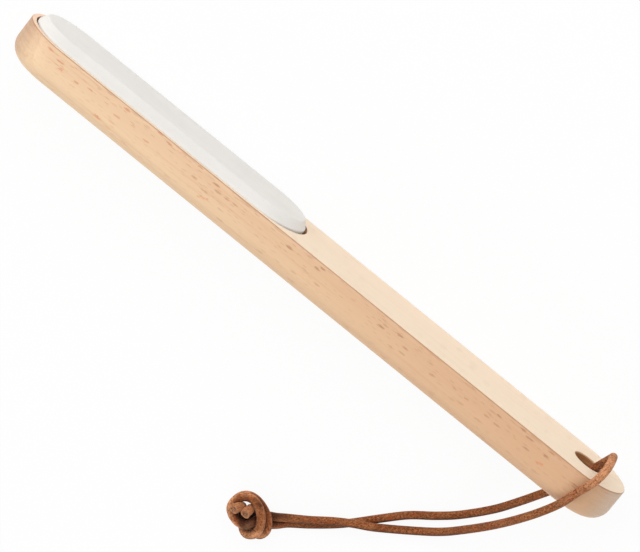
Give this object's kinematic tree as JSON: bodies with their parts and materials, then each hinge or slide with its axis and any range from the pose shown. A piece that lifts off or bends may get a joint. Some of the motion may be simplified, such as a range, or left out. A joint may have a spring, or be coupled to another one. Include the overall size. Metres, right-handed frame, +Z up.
{
  "type": "foot file",
  "caption": "Long wooden foot file with half-round ends, a bordered abrasive stone bonded into one face and a knotted leather hanging cord through the other end.",
  "frame": {"origin": "on the long edge that the file lies on, at mid length and at the middle of the handle's thickness", "axes": "+X along the handle towards the stone, +Y out of the rounded back, so that the stone faces -Y, +Z up"},
  "size_m": [0.26, 0.1127, 0.0375],
  "materials": {
    "wood": "bare sanded beech with fine flecks along the grain",
    "abrasive": "matte off-white, fine even grit",
    "adhesive": "cured, dull",
    "leather": "mottled suede brown, paler where it is cut or rubbed"
  },
  "bodies": {
    "file": {"handle": "wood", "adhesive_bed": "adhesive", "abrasive_stone": "abrasive"},
    "loop": {"cord_front": "leather", "cord_rear": "leather", "cord_knot": "leather"}
  },
  "joints": [
    {"name": "loop_swing", "type": "hinge", "parent": "file", "child": "loop", "pos_m": [-0.114, 0, 0.017], "axis": [0, -1, 0], "range_deg": [0, 180]}
  ]
}
